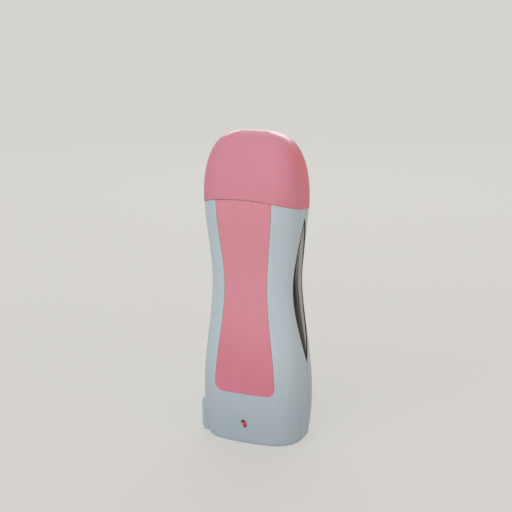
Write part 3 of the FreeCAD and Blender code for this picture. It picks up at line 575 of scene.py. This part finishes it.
@dataclass(frozen=True)
class TankPlastic(Finish):
    """Translucent polypropylene, tinted by the wax that wets its inside up to a level.

    `dense` is its opacity above the level, and `denser` is added below it.
    """

    wax: Colour
    level: float
    level_soft: float = 0.6 * MM
    level_ripple: float = 3 * MM
    patch: Fade = Fade(0.35, 0.7)
    dark: float = 0.58
    wet: float = 0.92
    dense: float = 0.62
    denser: float = 0.3
    relief: float = 0.04 * MM

    def make(self) -> bpy.types.Material:
        """Build it: wax colour showing through below the level, a wet line, milky above."""
        graph = Graph.named(self.name)
        ripple = graph.noise(8 * MM, detail=3.0, seed=2.0) - 0.5
        edge = Fade(self.level - self.level_soft, self.level + self.level_soft)
        filled = 1 - edge.of(graph.axis("Z") + ripple * self.level_ripple)
        patch = graph.noise(16 * MM, detail=4.0, stretch=(1.0, 1.0, 0.4), seed=6.0)
        wax = graph.blend(self.patch.of(patch), self.wax, scaled(self.wax, self.dark))
        return graph.finish({
            "Base Color": graph.blend(filled * self.wet, self.colour, wax),
            "Alpha": self.dense + filled * self.denser, "Roughness": 0.2, "IOR": 1.49,
            "Normal": graph.bump(graph.noise(3 * MM, detail=3.0), self.relief),
            "Coat Weight": 0.5, "Coat Roughness": 0.1,
        })


@dataclass(frozen=True)
class Wax(Finish):
    """Solid depilatory wax: deep honey, cloudy, with a slightly pitted set surface."""

    patch: Fade = Fade(0.3, 0.7)
    dark: float = 0.45
    pit_size: float = 2.4 * MM
    pit_edge: Fade = Fade(0.0, 0.22)
    pit_depth: float = 0.12 * MM

    def make(self) -> bpy.types.Material:
        """Build it: drifting honey tones, small pits and light that enters the surface."""
        graph = Graph.named(self.name)
        drift = graph.noise(11 * MM, detail=5.0)
        pit = graph.node("ShaderNodeTexVoronoi", None,
                         {"Vector": graph.place, "Scale": 1 / self.pit_size}, "Distance")
        dark = scaled(self.colour, self.dark)
        return graph.finish({
            "Base Color": graph.blend(self.patch.of(drift), dark, self.colour),
            "Roughness": 0.22 + drift * 0.2, "IOR": 1.46,
            "Normal": graph.bump(self.pit_edge.of(pit), self.pit_depth),
            "Subsurface Weight": 0.35, "Subsurface Scale": 3 * MM,
        })


@dataclass(frozen=True)
class WaxedRoller(Finish):
    """Ivory plastic with a thin uneven film of wax left on it."""

    wax: Colour
    cover: Fade = Fade(0.46, 0.58)
    strength: float = 0.85
    film_depth: float = 0.10 * MM
    grain_depth: float = 0.04 * MM

    def make(self) -> bpy.types.Material:
        """Build it: patches of film, glossier and raised, over a fine grain."""
        graph = Graph.named(self.name)
        patch = graph.noise(7 * MM, detail=4.0, stretch=(0.5, 1.0, 1.0), seed=3.0)
        film = self.cover.of(patch)
        thick = graph.blend(graph.noise(3 * MM, seed=9.0), self.colour, self.wax)
        fine = graph.bump(graph.noise(0.8 * MM), self.grain_depth)
        return graph.finish({
            "Base Color": graph.blend(film * self.strength, self.colour, thick),
            "Roughness": 0.38 - film * 0.24, "IOR": 1.48,
            "Normal": graph.bump(film, self.film_depth, fine),
            "Subsurface Weight": 0.2, "Subsurface Scale": 1.5 * MM,
        })


class Grain(Enum):
    """The way a metal's finish lines run."""

    ALONG_X = (0.05, 1.0, 1.0)
    ALONG_Z = (1.0, 1.0, 0.05)
    NONE = (1.0, 1.0, 1.0)


@dataclass(frozen=True)
class Metal(Finish):
    """Bare or plated metal with rolling or turning lines.

    `line_drift` and `cloud_drift` are how far its lines and its clouds change the gloss.
    """

    grain: Grain = Grain.NONE
    roughness: float = 0.3
    line_size: float = 0.25 * MM
    line_depth: float = 0.01 * MM
    line_drift: float = 0.25
    cloud_drift: float = 0.12
    cloud: float = 0.6
    dull: float = 0.72

    def make(self) -> bpy.types.Material:
        """Build it: fine lines in gloss and relief over a slightly clouded metal."""
        graph = Graph.named(self.name)
        lines = graph.noise(self.line_size, detail=3.0, stretch=self.grain.value)
        cloud = graph.noise(7 * MM, detail=3.0, seed=5.0)
        gloss = (lines - 0.5) * self.line_drift + (cloud - 0.5) * self.cloud_drift
        dull = scaled(self.colour, self.dull)
        return graph.finish({
            "Base Color": graph.blend(cloud * self.cloud, self.colour, dull),
            "Metallic": 1.0, "Roughness": self.roughness + gloss,
            "Normal": graph.bump(lines, self.line_depth),
        })


@dataclass(frozen=True)
class BoardMask(Finish):
    """Circuit board: solder mask with copper runs showing through as lighter lines."""

    cell: float = 5.2 * MM
    run_edge: Fade = Fade(0.05, 0.09)
    light: float = 1.9
    weave: float = 0.3
    relief: float = 0.04 * MM

    def make(self) -> bpy.types.Material:
        """Build it: crooked copper runs around cells, and a woven glass relief."""
        graph = Graph.named(self.name)
        edge = graph.node("ShaderNodeTexVoronoi", {"feature": "DISTANCE_TO_EDGE"},
                          {"Vector": graph.place, "Scale": 1 / self.cell}, "Distance")
        run = 1 - self.run_edge.of(edge)
        weave = graph.noise(0.4 * MM, detail=1.0, stretch=(1.0, 1.0, 0.3))
        return graph.finish({
            "Base Color": graph.blend(run, self.colour, scaled(self.colour, self.light)),
            "Normal": graph.bump(run + weave * self.weave, self.relief),
            "Roughness": 0.3, "Coat Weight": 0.4, "Coat Roughness": 0.2,
        })


@dataclass(frozen=True)
class LampLens(Finish):
    """Red clear acrylic with painted light and shade: dark ends of painted shade and a hot
    middle of painted light.

    Its bands and its painted highlight are placed in shares of `radius` from `middle`.
    """

    middle: Vector
    radius: float
    # Painted light and shade: a dark painted shade at the top, a hot painted light in the
    # middle and a pink painted highlight.
    painted_heart_light: Colour
    painted_brow_shade: Colour
    painted_gleam: Colour
    glow: float
    heart_rise: Fade = Fade(-0.55, 0.0)
    heart_fall: Fade = Fade(0.05, 0.65)
    brow_rise: Fade = Fade(0.1, 0.7)
    gleam_at: tuple[float, float] = (-0.55, -0.5)
    gleam_squeeze: tuple[float, float] = (3.0, 1.2)
    gleam_edge: Fade = Fade(0.05, 0.42)
    relief: float = 0.02 * MM

    def make(self) -> bpy.types.Material:
        """Build it: painted bands of shade and light up the lens, a painted pink highlight low
        on one side, a gloss.
        """
        graph = Graph.named(self.name)
        side = (graph.axis("X") - self.middle.x) * (1 / self.radius)
        up = (graph.axis("Z") - self.middle.z) * (1 / self.radius)
        # Painted shade at the top of the lens, then painted light across its middle.
        colour = graph.blend(self.brow_rise.of(up), self.colour, self.painted_brow_shade)
        hot = self.heart_rise.of(up) * (1 - self.heart_fall.of(up))
        colour = graph.blend(hot, colour, self.painted_heart_light)
        # A painted highlight, low on one side.
        spot = [(off - at) ** 2 * squeeze for off, at, squeeze
                in zip((side, up), self.gleam_at, self.gleam_squeeze)]
        painted_gleam = 1 - self.gleam_edge.of(spot[0] + spot[1])
        colour = graph.blend(painted_gleam, colour, self.painted_gleam)
        return graph.finish({
            "Base Color": colour, "Emission Color": colour, "Emission Strength": self.glow,
            "Normal": graph.bump(graph.noise(1.2 * MM), self.relief),
            "Roughness": 0.12, "IOR": 1.49, "Coat Weight": 0.5, "Coat Roughness": 0.05,
        })


@dataclass(frozen=True)
class StageTone(Finish):
    """The floor's pale tone: partly its own light where it is seen, and wholly far away."""

    even: float = 0.66
    away: Fade = Fade(0.45, 1.3)
    cloud_size: float = 0.4
    dim: float = 0.97

    def make(self) -> bpy.types.Material:
        """Build it: a matt floor that keeps soft shadows, mixed with its plain tone."""
        graph = Graph.named(self.name)
        cloud = graph.noise(self.cloud_size, detail=3.0)
        tone = graph.blend(cloud, scaled(self.colour, self.dim), self.colour)
        matt = graph.node("ShaderNodeBsdfDiffuse", None, {"Color": tone})
        plain = graph.node("ShaderNodeEmission", None, {"Color": self.colour, "Strength": 1.0})
        distance = (graph.axis("X") ** 2 + graph.axis("Y") ** 2) ** 0.5
        share = self.away.of(distance, self.even, 1.0)
        return graph.end(graph.node("ShaderNodeMixShader", None,
                                    {0: graph.seen * share, 1: matt, 2: plain}))


# The shell's darker tone towards the bottom is painted shade.
SHELL = Moulded("shell_pale_blue", paint(179, 193, 201), roughness=0.40, cloud=0.025,
                painted_low_shade=PaintedLowShade(paint(164, 178, 188), Fade(10 * MM, 70 * MM)))
SWITCH_PLASTIC = Moulded("switch_pale_blue", paint(175, 187, 199), roughness=0.34, cloud=0.02)
# The cap's redder flanks are painted shade.
CAP_PINK = Moulded("cap_rose", paint(205, 135, 151), roughness=0.46, cloud=0.03, shine=0.30,
                   coat_roughness=0.34, glow=0.35, glow_reach=3 * MM,
                   painted_flank=PaintedFlankShade(paint(219, 128, 138)),
                   crown=Crown(0.8, Fade(187 * MM, 198 * MM)))
# The panel's darker, redder lower part is painted shade.
PANEL_PINK = Moulded("panel_rose", paint(208, 135, 150), roughness=0.46, cloud=0.045,
                     grain=0.5 * MM, grain_depth=0.03 * MM, flow=0.06, sheen=0.15,
                     painted_low_shade=PaintedLowShade(paint(203, 118, 138), Fade(40 * MM, 98 * MM)))
SEAL = Moulded("window_seal_black", paint(44, 42, 40), roughness=0.55, cloud=0.05)
TANK = TankPlastic("tank_milky", paint(214, 208, 192), wax=paint(190, 106, 30),
                   level=135.9 * MM)
WAX = Wax("wax_honey", paint(180, 112, 44))
HEAD_WHITE = Moulded("head_white", paint(226, 224, 218), roughness=0.30, cloud=0.03, glow=0.15)
ROLLER_WHITE = WaxedRoller("roller_ivory", paint(232, 228, 216), wax=paint(204, 138, 56))
INNER_GREY = Moulded("inner_grey", paint(206, 208, 206), roughness=0.5, cloud=0.04)
NYLON = Moulded("inlet_black", paint(38, 38, 40), roughness=0.5, cloud=0.06)
STEEL = Metal("steel_zinc", paint(198, 198, 194), roughness=0.32)
ALUMINIUM = Metal("aluminium_rolled", paint(226, 226, 224), Grain.ALONG_Z, 0.55)
BRASS = Metal("contact_brass", paint(214, 182, 110), Grain.ALONG_Z, 0.26)
FUSE = Metal("fuse_can", paint(206, 202, 194), Grain.ALONG_X, 0.35)
SLEEVE = Moulded("heater_sleeve_amber", paint(188, 120, 44), roughness=0.3, cloud=0.12,
                 coat=0.4)
BOARD = BoardMask("board_green", paint(28, 92, 56))
MARK_WHITE = Moulded("mark_white", paint(236, 238, 240), roughness=0.5, cloud=0.02)
FLOOR = StageTone("floor_pale", paint(213, 211, 207))


# ---------------------------------------------------------------- sub-assemblies

@dataclass
class Assembly:
    """Some nodes of the part that belong together, and the pieces added to them."""

    nodes: Mapping[str, bpy.types.Object]

    def build(self) -> None:
        """Dress the assembly's nodes and add its own pieces."""
        raise NotImplementedError

    def dress(self, name: str, finish: Finish) -> None:
        """Give a node its finish.

        Args:
            name: the node.
            finish: its finish.
        """
        for slot in self.nodes[name].material_slots:
            slot.material = finish.material
        log.info("%s: %s", name, finish.name)

    def dress_all(self, finishes: Mapping[str, Finish]) -> None:
        """Give several nodes their finishes, by node name."""
        for name, finish in finishes.items():
            self.dress(name, finish)

    def add(self, name: str, shape: bmesh.types.BMesh, finish: Finish, body: str,
            slot: str) -> bpy.types.Object:
        """Make a new piece that rides on a body.

        Args:
            name: the piece's name.
            shape: its mesh in the part's frame, which is used up.
            finish: its finish.
            body: the body it moves with.
            slot: a material slot of the record; not used.

        Returns:
            The piece.
        """
        mesh = bpy.data.meshes.new(name)
        shape.to_mesh(mesh)
        shape.free()
        piece = bpy.data.objects.new(name, mesh)
        bpy.context.scene.collection.objects.link(piece)
        mesh.materials.append(finish.material)
        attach(piece, body)
        log.info("%s: added on %s", name, body)
        return piece


@dataclass
class Housing(Assembly):
    """Shells, grip panel, windows, neck and screws."""

    def build(self) -> None:
        """Dress the housing."""
        low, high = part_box("window_right")
        # The pane's pale tone, 221, 221, 211, is a painted reflection.
        pane = SmokedPane("window_smoke", paint(26, 19, 11), low_colour=paint(44, 29, 10),
                          painted_reflection=paint(221, 221, 211), middle=(low + high) / 2,
                          half_wide=(high.y - low.y) / 2, half_tall=(high.z - low.z) / 2)
        self.dress_all({
            "front_shell": SHELL, "rear_shell": SHELL, "neck_collar": SHELL,
            "grip_panel": PANEL_PINK, "window_left": pane, "window_right": pane,
            "window_seal_left": SEAL, "window_seal_right": SEAL,
            "shell_screw_left": STEEL, "shell_screw_right": STEEL,
        })


@dataclass
class Cap(Assembly):
    """The lift-off domed cap."""

    def build(self) -> None:
        """Dress the cap."""
        self.dress("cap", CAP_PINK)


@dataclass
class Cartridge(Assembly):
    """The tank with its wax, the head and the roller."""

    def build(self) -> None:
        """Dress the cartridge."""
        self.dress_all({
            "cartridge_tank": TANK, "wax_fill": WAX, "roller_frame": HEAD_WHITE,
            "roller_sleeve": ROLLER_WHITE, "roller_axle": STEEL,
        })


@dataclass
class Heater(Assembly):
    """The cradle that holds the cartridge, and the heater behind it."""

    def build(self) -> None:
        """Dress the cradle and heater."""
        self.dress_all({
            "cartridge_cradle": INNER_GREY, "heating_plate": ALUMINIUM, "ptc_heater": SLEEVE,
            "heater_clip": STEEL, "thermal_fuse": FUSE,
        })


@dataclass
class Lamp(Assembly):
    """The indicator lamp: lens, light, board and the board's screws."""

    radius: float = 2.7 * MM
    glow: float = 0.10

    def build(self) -> None:
        """Dress the lamp, its lens lit around its own middle."""
        low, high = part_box("indicator_lens")
        middle = Vector(((low.x + high.x) / 2, low.y, (low.z + high.z) / 2))
        # The lens's dark top is painted shade, its hot middle painted light and its pink spot
        # a painted highlight.
        lens = LampLens("lamp_red", paint(126, 26, 52), middle, self.radius,
                        painted_heart_light=paint(190, 78, 64), painted_brow_shade=paint(84, 30, 16),
                        painted_gleam=paint(232, 160, 188), glow=self.glow)
        self.dress_all({"indicator_lens": lens, "indicator_led": lens, "circuit_board": BOARD})
        for name in self.nodes:
            if name.startswith("board_screw_"):
                self.dress(name, STEEL)


@dataclass
class Switch(Assembly):
    """The rocker switch, with a bar and a ring printed on its two faces.

    The marks lie `mark_out` above and below the rocker's middle, `proud` of its face.
    """

    bar_long: float = 3.2 * MM
    stroke: float = 0.5 * MM
    ring_radius: float = 1.5 * MM
    mark_out: float = 4.4 * MM
    proud: float = 0.03 * MM
    ring_steps: int = 40
    end_steps: int = 10

    def build(self) -> None:
        """Dress the switch and lay its two marks."""
        self.dress_all({
            "switch_body": SWITCH_PLASTIC, "switch_rocker": SWITCH_PLASTIC,
            "switch_tab_upper": BRASS, "switch_tab_lower": BRASS,
        })
        bar = bmesh.new()
        self._bar(bar, self._face(self.mark_out))
        self.add("switch_mark_on", bar, MARK_WHITE, "rocker", "shell_plastic")
        ring = bmesh.new()
        self._ring(ring, self._face(-self.mark_out))
        self.add("switch_mark_off", ring, MARK_WHITE, "rocker", "shell_plastic")

    def _face(self, rise: float) -> Matrix:
        """A frame on the rocker's outer face: X out of it, Z up along it.

        Args:
            rise: height above the rocker's middle.

        Returns:
            The frame, a hair proud of the face.
        """
        rocker = self.nodes["switch_rocker"]
        low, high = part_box("switch_rocker")
        middle = (low + high) / 2
        start = Vector((2 * low.x - high.x, middle.y, middle.z + rise))
        hit, place, normal, _ = rocker.ray_cast(start, Vector((1, 0, 0)))
        if not hit:
            raise RuntimeError("the rocker has no face at height %.4f" % rise)
        side = Vector((0, 1, 0))
        frame = Matrix((normal, side, normal.cross(side))).transposed().to_4x4()
        frame.translation = place + normal * self.proud
        return frame

    def _bar(self, shape: bmesh.types.BMesh, frame: Matrix) -> None:
        """Add the ON bar, a slim upright with rounded ends.

        Args:
            shape: the mesh that it goes into.
            frame: its frame on the rocker's face.
        """
        half = self.stroke / 2
        reach = self.bar_long / 2 - half
        rim = []
        for end in (1, -1):
            for step in range(self.end_steps + 1):
                turn = math.pi * step / self.end_steps
                across, along = half * math.cos(turn), reach + half * math.sin(turn)
                rim.append(Vector((0, across * end, along * end)))
        shape.faces.new([shape.verts.new(frame @ point) for point in rim])

    def _ring(self, shape: bmesh.types.BMesh, frame: Matrix) -> None:
        """Add the OFF ring, a flat annulus.

        Args:
            shape: the mesh that it goes into.
            frame: its frame on the rocker's face.
        """
        rows = []
        turns = [2 * math.pi * step / self.ring_steps for step in range(self.ring_steps)]
        for radius in (self.ring_radius - self.stroke, self.ring_radius):
            rim = [(radius * math.cos(turn), radius * math.sin(turn)) for turn in turns]
            rows.append([shape.verts.new(frame @ Vector((0, y, z))) for y, z in rim])
        for step in range(self.ring_steps):
            after = (step + 1) % self.ring_steps
            shape.faces.new((rows[0][step], rows[1][step], rows[1][after], rows[0][after]))


@dataclass
class Inlet(Assembly):
    """The power inlet and its two pins."""

    def build(self) -> None:
        """Dress the inlet."""
        self.dress_all({
            "power_inlet": NYLON, "inlet_pin_left": BRASS, "inlet_pin_right": BRASS,
        })


# ---------------------------------------------------------------- studio

@dataclass(frozen=True)
class Softbox:
    """A soft lamp: where it stands, how large it is, its power in watts and its tint."""

    name: str
    place: tuple[float, float, float]
    size: tuple[float, float]
    power: float
    tint: Colour = (1.0, 1.0, 1.0)

    def light(self, aim: Vector) -> bpy.types.Object:
        """Make the lamp, turned at a point.

        Args:
            aim: the point it faces.

        Returns:
            The lamp.
        """
        data = bpy.data.lights.new(self.name, "AREA")
        data.shape = "RECTANGLE"
        data.size, data.size_y = self.size
        data.energy = self.power
        data.color = self.tint
        lamp = bpy.data.objects.new(self.name, data)
        lamp.location = self.place
        lamp.rotation_euler = (aim - lamp.location).to_track_quat("-Z", "Y").to_euler()
        bpy.context.scene.collection.objects.link(lamp)
        return lamp


@dataclass
class Studio:
    """Pale floor that curves up all round, soft lamps, pale surroundings and the camera.

    `roll` is in degrees, `lens` and `sensor` are in millimetres, and the rest is in metres.
    """

    eye: tuple[float, float, float] = (0.29179, -0.67462, 0.32034)
    aim: tuple[float, float, float] = (-0.00261, 0.00414, 0.11812)
    roll: float = -0.52
    lens: float = 84.375
    sensor: float = 36.0
    flat_radius: float = 2.2
    sweep_radius: float = 0.9
    wall_height: float = 1.7
    around: int = 96
    up_steps: int = 16
    sky: float = 0.64
    lamps: tuple[Softbox, ...] = (
        Softbox("key", (-0.20, -1.75, 1.05), (2.2, 1.8), 22.0, (1.0, 0.995, 0.985)),
        Softbox("fill", (1.40, -0.60, 0.55), (0.9, 0.9), 3.4, (1.0, 0.74, 0.64)),
        Softbox("rim", (-0.45, 1.35, 1.00), (1.6, 0.5), 12.0),
    )

    def build(self) -> None:
        """Make the floor, the light and the camera."""
        self._floor()
        self._surroundings()
        for lamp in self.lamps:
            lamp.light(Vector(self.aim))
        self._camera()
        bpy.context.scene.view_settings.view_transform = "Standard"

    def _floor(self) -> None:
        """Lay a round floor whose rim curves up into a low wall."""
        profile = [(0.0, 0.0), (self.flat_radius, 0.0)]
        for step in range(1, self.up_steps + 1):
            turn = math.pi / 2 * step / self.up_steps
            profile.append((self.flat_radius + self.sweep_radius * math.sin(turn),
                            self.sweep_radius * (1 - math.cos(turn))))
        profile.append((self.flat_radius + self.sweep_radius, self.wall_height))
        shape = bmesh.new()
        rim = [shape.verts.new((across, 0.0, rise)) for across, rise in profile]
        edges = [shape.edges.new(pair) for pair in zip(rim, rim[1:])]
        bmesh.ops.spin(shape, geom=rim + edges, cent=(0, 0, 0), axis=(0, 0, 1),
                       angle=2 * math.pi, steps=self.around, use_merge=True)
        bmesh.ops.remove_doubles(shape, verts=shape.verts, dist=MM)
        bmesh.ops.recalc_face_normals(shape, faces=shape.faces)
        for face in shape.faces:
            face.smooth = True
        mesh = bpy.data.meshes.new("floor")
        shape.to_mesh(mesh)
        shape.free()
        mesh.materials.append(FLOOR.material)
        floor = bpy.data.objects.new("floor", mesh)
        bpy.context.scene.collection.objects.link(floor)

    def _surroundings(self) -> None:
        """Pale surroundings: an even light, and the floor's own tone where they are seen."""
        world = bpy.data.worlds.new("surroundings")
        bpy.context.scene.world = world
        graph = Graph(world)
        seen = graph.node("ShaderNodeBackground", None, {"Color": FLOOR.colour})
        light = graph.node("ShaderNodeBackground", None,
                           {"Color": (1.0, 1.0, 1.0), "Strength": self.sky})
        graph.end(graph.node("ShaderNodeMixShader", None, {0: graph.seen, 1: light, 2: seen}))

    def _camera(self) -> None:
        """Stand the camera at its eye point and roll it a little."""
        data = bpy.data.cameras.new("camera")
        data.lens, data.sensor_width = self.lens, self.sensor
        camera = bpy.data.objects.new("camera", data)
        bpy.context.scene.collection.objects.link(camera)
        eye = Vector(self.eye)
        turn = (Vector(self.aim) - eye).to_track_quat("-Z", "Y").to_matrix()
        placed = (turn @ Matrix.Rotation(math.radians(self.roll), 3, "Z")).to_4x4()
        placed.translation = eye
        camera.matrix_world = placed
        bpy.context.scene.camera = camera


def main() -> None:
    """Load the part, dress each sub-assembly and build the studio."""
    logging.basicConfig(level=logging.INFO, format="%(name)s: %(message)s")
    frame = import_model()
    for kind in (Housing, Cap, Cartridge, Heater, Lamp, Switch, Inlet):
        kind(frame["nodes"]).build()
        log.info("%s is dressed", kind.__name__)
    Studio().build()


if __name__ == "__main__":
    main()
